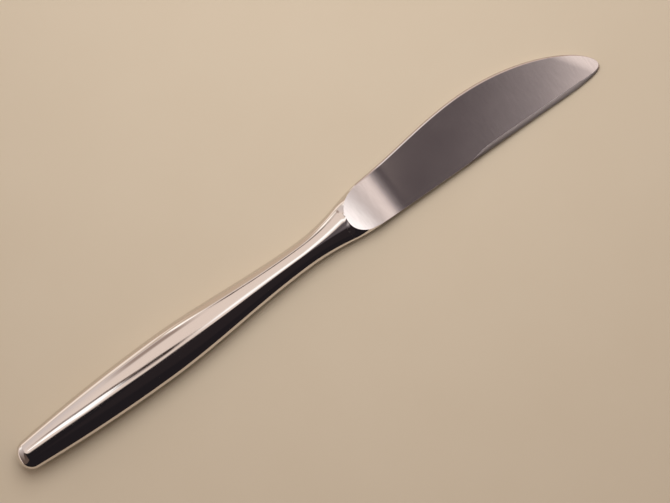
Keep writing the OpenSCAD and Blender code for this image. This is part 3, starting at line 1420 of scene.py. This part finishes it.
    def crease(self, mesh: bpy.types.Mesh, ring: int, ground: int) -> None:
        """Mark the crisp lines that grinding leaves: the grind line and the bevel's shoulder.

        Args:
            mesh: mesh of the forging.
            ring: number of points in a section.
            ground: number of the section on the grind line.
        """
        mesh.set_sharp_from_angle(angle=math.radians(self.sharp_angle))
        shoulders = (self.shoulder, ring - self.shoulder)
        for edge in mesh.edges:
            (row_a, a), (row_b, b) = (divmod(v, ring) for v in edge.vertices)
            on_grind_line = row_a == row_b == ground
            on_shoulder = a == b and a in shoulders and min(row_a, row_b) >= ground
            if on_grind_line or on_shoulder:
                edge.use_edge_sharp = True


@dataclass(frozen=True)
class HiddenSetting:
    """The brazed seam and the cement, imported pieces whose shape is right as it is."""

    braze: bpy.types.Material
    cement: bpy.types.Material

    def dress(self) -> list[bpy.types.Object]:
        """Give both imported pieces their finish.

        Returns:
            The two pieces.
        """
        pieces = []
        for node, finish in (("seam_braze", self.braze), ("handle_cement", self.cement)):
            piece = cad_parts[node]
            piece.data.materials.clear()
            piece.data.materials.append(finish)
            pieces.append(piece)
        return pieces


@dataclass(frozen=True)
class Panel:
    """A soft-edged patch of the studio round the knife, in degrees as the knife sees it.

    Angles across run from overhead towards the right of the picture, and angles up run from
    overhead towards its top, where 90 is the level of the floor.
    """

    centre: tuple[float, float]
    size: tuple[float, float]
    soft: tuple[float, float]
    colour: str
    strength: float = 1.0
    turn: float = 0.0

    def lay_over(
        self,
        tree: bpy.types.NodeTree,
        angles: bpy.types.NodeSocket,
        behind: Colour | bpy.types.NodeSocket,
    ) -> bpy.types.NodeSocket:
        """Add the patch over what is behind it.

        Args:
            tree: the world's tree.
            angles: the angles across and up of a direction, as a vector.
            behind: colour of the studio without this patch, or the output that gives it.

        Returns:
            Colour of the studio with the patch.
        """
        local = add_node(
            tree,
            "ShaderNodeMapping",
            {"vector_type": "TEXTURE"},
            {
                "Vector": angles,
                "Location": (*self.centre, 0.0),
                "Rotation": (0.0, 0.0, math.radians(self.turn)),
            },
        )
        away = add_node(
            tree, "ShaderNodeVectorMath", {"operation": "ABSOLUTE"}, {0: local.outputs[0]}
        )
        parts = add_node(tree, "ShaderNodeSeparateXYZ", inputs={0: away.outputs[0]}).outputs
        across, up = (
            add_node(
                tree,
                "ShaderNodeMapRange",
                {"interpolation_type": "SMOOTHSTEP"},
                {
                    "Value": part,
                    "From Min": (size + soft) / 2,
                    "From Max": (size - soft) / 2,
                },
            )
            for part, size, soft in zip(parts, self.size, self.soft)
        )
        share = add_node(
            tree,
            "ShaderNodeMath",
            {"operation": "MULTIPLY"},
            {0: across.outputs[0], 1: up.outputs[0]},
        )
        over = add_node(
            tree,
            "ShaderNodeMix",
            {"data_type": "RGBA"},
            {0: share.outputs[0], 6: behind, 7: linear(self.colour, self.strength)},
        )
        return over.outputs[2]


@dataclass(frozen=True)
class Studio:
    """Beige floor, a pale tent with panels, a soft lamp and the camera.

    Sizes and places are in metres, and angles are in degrees. The lens and the sensor are in
    millimetres, and the lamp's power is in watts.
    """

    board: bpy.types.Material
    floor_size: float = 8.0
    floor_cuts: int = 8
    tent_colour: str = "#f4e2d7"
    lamp_direction: tuple[float, float] = (0.571, 0.821)
    lamp_elevation: float = 62.0
    lamp_distance: float = 0.3
    lamp_size: float = 0.28
    lamp_power: float = 0.625
    lens: float = 93.6
    sensor: float = 36.0
    clip_start: float = 0.01
    aim: tuple[float, float] = (0.00829, -0.00629)
    distance: float = 0.5
    lean_along: float = 3.0
    lean_across: float = -4.5
    turn: float = -34.87

    PANELS: ClassVar[tuple[Panel, ...]] = (
        # The tent is a little duller over the butt
        Panel((-52.0, 22.0), (44.0, 90.0), (22.0, 10.0), "#dfd2ce"),
        # A beige wall beyond the floor, with light windows to its left and right
        Panel((4.0, 77.5), (150.0, 65.0), (6.0, 8.0), "#cfb8a2"),
        Panel((-50.0, 58.0), (24.0, 20.0), (5.0, 7.0), "#fff0e4", 1.1),
        Panel((-64.0, 31.0), (24.0, 26.0), (6.0, 10.0), "#fff8f2", 1.2),
        Panel((52.0, 61.0), (28.0, 22.0), (10.0, 12.0), "#fff8f2", 1.2),
        # A soft grey fold in the tent, and a dark crease beside it
        Panel((-29.3, 33.0), (16.0, 6.5), (8.0, 3.0), "#a8948a", 1.0, -61.9),
        Panel((-24.1, 35.5), (7.0, 1.4), (3.0, 0.5), "#4a3a34", 1.0, -55.6),
        # A light gap in the tent, which glints on the neck's flank
        Panel((-32.1, 46.0), (12.0, 2.4), (4.0, 1.8), "#fff8f2", 1.45, -61.6),
        # A lamp box with the grey and dark edges of its frame
        Panel((-16.5, 2.0), (11.5, 3.8), (3.0, 1.2), "#ffffff", 1.5, -30.0),
        Panel((-21.4, 7.5), (11.0, 1.8), (5.0, 1.0), "#9a8b84", 1.0, -33.5),
        Panel((-10.3, 0.7), (4.4, 2.4), (3.0, 2.0), "#b3a39f", 1.0, -23.0),
        Panel((-15.2, 4.5), (7.5, 1.6), (3.0, 0.9), "#65544e", 1.0, -30.7),
        Panel((-9.7, 1.8), (5.6, 3.0), (2.5, 1.4), "#30241f", 1.0, -15.0),
        # A white strip beside a dark stand and its arm
        Panel((-3.2, 7.5), (4.0, 13.0), (2.4, 3.0), "#ffffff", 1.35),
        Panel((5.3, 2.0), (10.0, 15.0), (1.0, 5.0), "#5b5356"),
        Panel((30.0, -2.0), (60.0, 8.0), (2.0, 4.0), "#5b5356"),
        # The light tent over the tip's side, with a grey edge and a dull seam
        Panel((16.0, 13.2), (20.0, 23.5), (6.0, 6.0), "#b9b1b2"),
        Panel((20.0, 14.2), (24.0, 21.5), (2.6, 5.0), "#fff4ee", 1.22),
        Panel((13.1, 10.2), (2.8, 16.0), (1.6, 4.0), "#d2c8c4"),
        Panel((24.3, 14.2), (20.2, 21.5), (1.4, 5.0), "#ffffff", 2.1),
        # The dark side of the room, from which the knife is looked at
        Panel((23.0, -65.0), (120.0, 122.2), (5.0, 2.0), "#231f22"),
        Panel((40.0, -60.0), (90.0, 114.6), (4.0, 1.6), "#2b2527"),
        Panel((-25.0, -32.8), (16.0, 60.0), (4.0, 1.8), "#231f22"),
        # A beige wall to the right, and a brown and a dark place in front
        Panel((73.3, 8.5), (60.0, 80.0), (10.0, 10.0), "#dcc3a8", 1.0, 34.9),
        Panel((14.2, -124.4), (60.0, 260.0), (4.0, 80.0), "#66564f", 1.0, 33.1),
        Panel((-1.0, -89.4), (81.0, 120.0), (3.0, 4.0), "#231f22", 1.0, -27.2),
    )

    def build_floor(self) -> bpy.types.Object:
        """Make the floor, with a few cuts so that it isn't one huge face.

        Returns:
            The floor.
        """
        half = self.floor_size / 2
        steps = self.floor_cuts
        cuts = [mix(-half, half, i / steps) for i in range(steps + 1)]
        points = [(x, y, 0.0) for x in cuts for y in cuts]
        row = steps + 1
        faces = [
            (i * row + j, (i + 1) * row + j, (i + 1) * row + j + 1, i * row + j + 1)
            for i in range(steps)
            for j in range(steps)
        ]
        mesh = bpy.data.meshes.new("floor")
        mesh.from_pydata(points, [], faces)
        mesh.materials.append(self.board)
        floor = bpy.data.objects.new("floor", mesh)
        bpy.context.scene.collection.objects.link(floor)
        return floor

    def build_world(self) -> None:
        """Make the studio round the knife: a pale tent with panels."""
        world = bpy.data.worlds.new("studio")
        world.use_nodes = True
        tree = world.node_tree
        tree.nodes.clear()
        direction = add_node(tree, "ShaderNodeTexCoord").outputs["Generated"]
        turned = add_node(
            tree,
            "ShaderNodeVectorRotate",
            {"rotation_type": "Z_AXIS"},
            {"Vector": direction, "Angle": math.radians(-self.turn)},
        )
        parts = add_node(tree, "ShaderNodeSeparateXYZ", inputs={0: turned.outputs[0]}).outputs
        lean = add_node(tree, "ShaderNodeMath", {"operation": "ARCSINE"}, {0: parts["X"]})
        rise = add_node(
            tree, "ShaderNodeMath", {"operation": "ARCTAN2"}, {0: parts["Y"], 1: parts["Z"]}
        )
        across, up = (
            add_node(tree, "ShaderNodeMath", {"operation": "DEGREES"}, {0: angle.outputs[0]})
            for angle in (lean, rise)
        )
        angles = add_node(
            tree, "ShaderNodeCombineXYZ", inputs={"X": across.outputs[0], "Y": up.outputs[0]}
        ).outputs[0]
        light: Colour | bpy.types.NodeSocket = linear(self.tent_colour)
        for panel in self.PANELS:
            light = panel.lay_over(tree, angles, light)
        shader = add_node(tree, "ShaderNodeBackground", inputs={"Color": light, "Strength": 1.0})
        add_node(tree, "ShaderNodeOutputWorld", inputs={"Surface": shader.outputs[0]})
        bpy.context.scene.world = world

    def build_lamp(self) -> bpy.types.Object:
        """Make the soft lamp that lights the floor from beyond the spine.

        Returns:
            The lamp.
        """
        height = math.radians(self.lamp_elevation)
        level = Vector((*self.lamp_direction, 0.0)).normalized() * math.cos(height)
        towards = level + Vector((0.0, 0.0, math.sin(height)))
        data = bpy.data.lights.new("soft_lamp", "AREA")
        data.shape = "DISK"
        data.size = self.lamp_size
        data.energy = self.lamp_power
        lamp = bpy.data.objects.new("soft_lamp", data)
        lamp.location = towards * self.lamp_distance
        lamp.rotation_euler = (-towards).to_track_quat("-Z", "Y").to_euler()
        lamp.visible_glossy = False
        bpy.context.scene.collection.objects.link(lamp)
        return lamp

    def build_camera(self) -> bpy.types.Object:
        """Set the camera above the knife, which lies across the picture.

        Returns:
            The camera.
        """
        lean = (math.tan(math.radians(self.lean_along)), math.tan(math.radians(self.lean_across)))
        back = Vector((*lean, 1.0)).normalized()
        turn = math.radians(self.turn)
        up = back.cross(Vector((math.cos(turn), math.sin(turn), 0.0))).normalized()
        right = up.cross(back)
        data = bpy.data.cameras.new("camera")
        data.lens = self.lens
        data.sensor_width = self.sensor
        data.clip_start = self.clip_start
        camera = bpy.data.objects.new("camera", data)
        axes = Matrix((right, up, back)).transposed().to_4x4()
        place = Vector((*self.aim, 0.0)) + back * self.distance
        camera.matrix_world = Matrix.Translation(place) @ axes
        bpy.context.scene.collection.objects.link(camera)
        bpy.context.scene.camera = camera
        return camera

    def build(self) -> list[bpy.types.Object]:
        """Set up the camera, the light and the floor.

        Returns:
            The objects made.
        """
        bpy.context.scene.view_settings.view_transform = "Standard"
        self.build_world()
        return [self.build_camera(), self.build_lamp(), self.build_floor()]


def main() -> None:
    """Build the knife and the studio, and report each piece."""
    logging.basicConfig(level=logging.INFO, format="%(name)s: %(message)s")
    studio = Studio(PaleBoard().build())
    for item in studio.build():
        LOG.info("studio: %s", item.name)
    polish = MirrorPolish().build()
    form = HandleForm()
    lay = Lay.from_frame(form.length, HalfShell.gap)
    tree = HalfShell.loft_tree()
    pieces = [HalfShell(form, lay, side, polish).build(tree) for side in Side]
    finishes = {
        BladeFinish.SATIN: SatinGrind().build(),
        BladeFinish.POLISHED: polish,
        BladeFinish.HONED: HonedEdge().build(),
    }
    pieces.append(Blade(form, lay, finishes).build())
    pieces += HiddenSetting(SilverBraze().build(), SettingCement().build()).dress()
    for piece in pieces:
        LOG.info("piece: %s, %d faces", piece.name, len(piece.data.polygons))


if __name__ == "__main__":
    main()
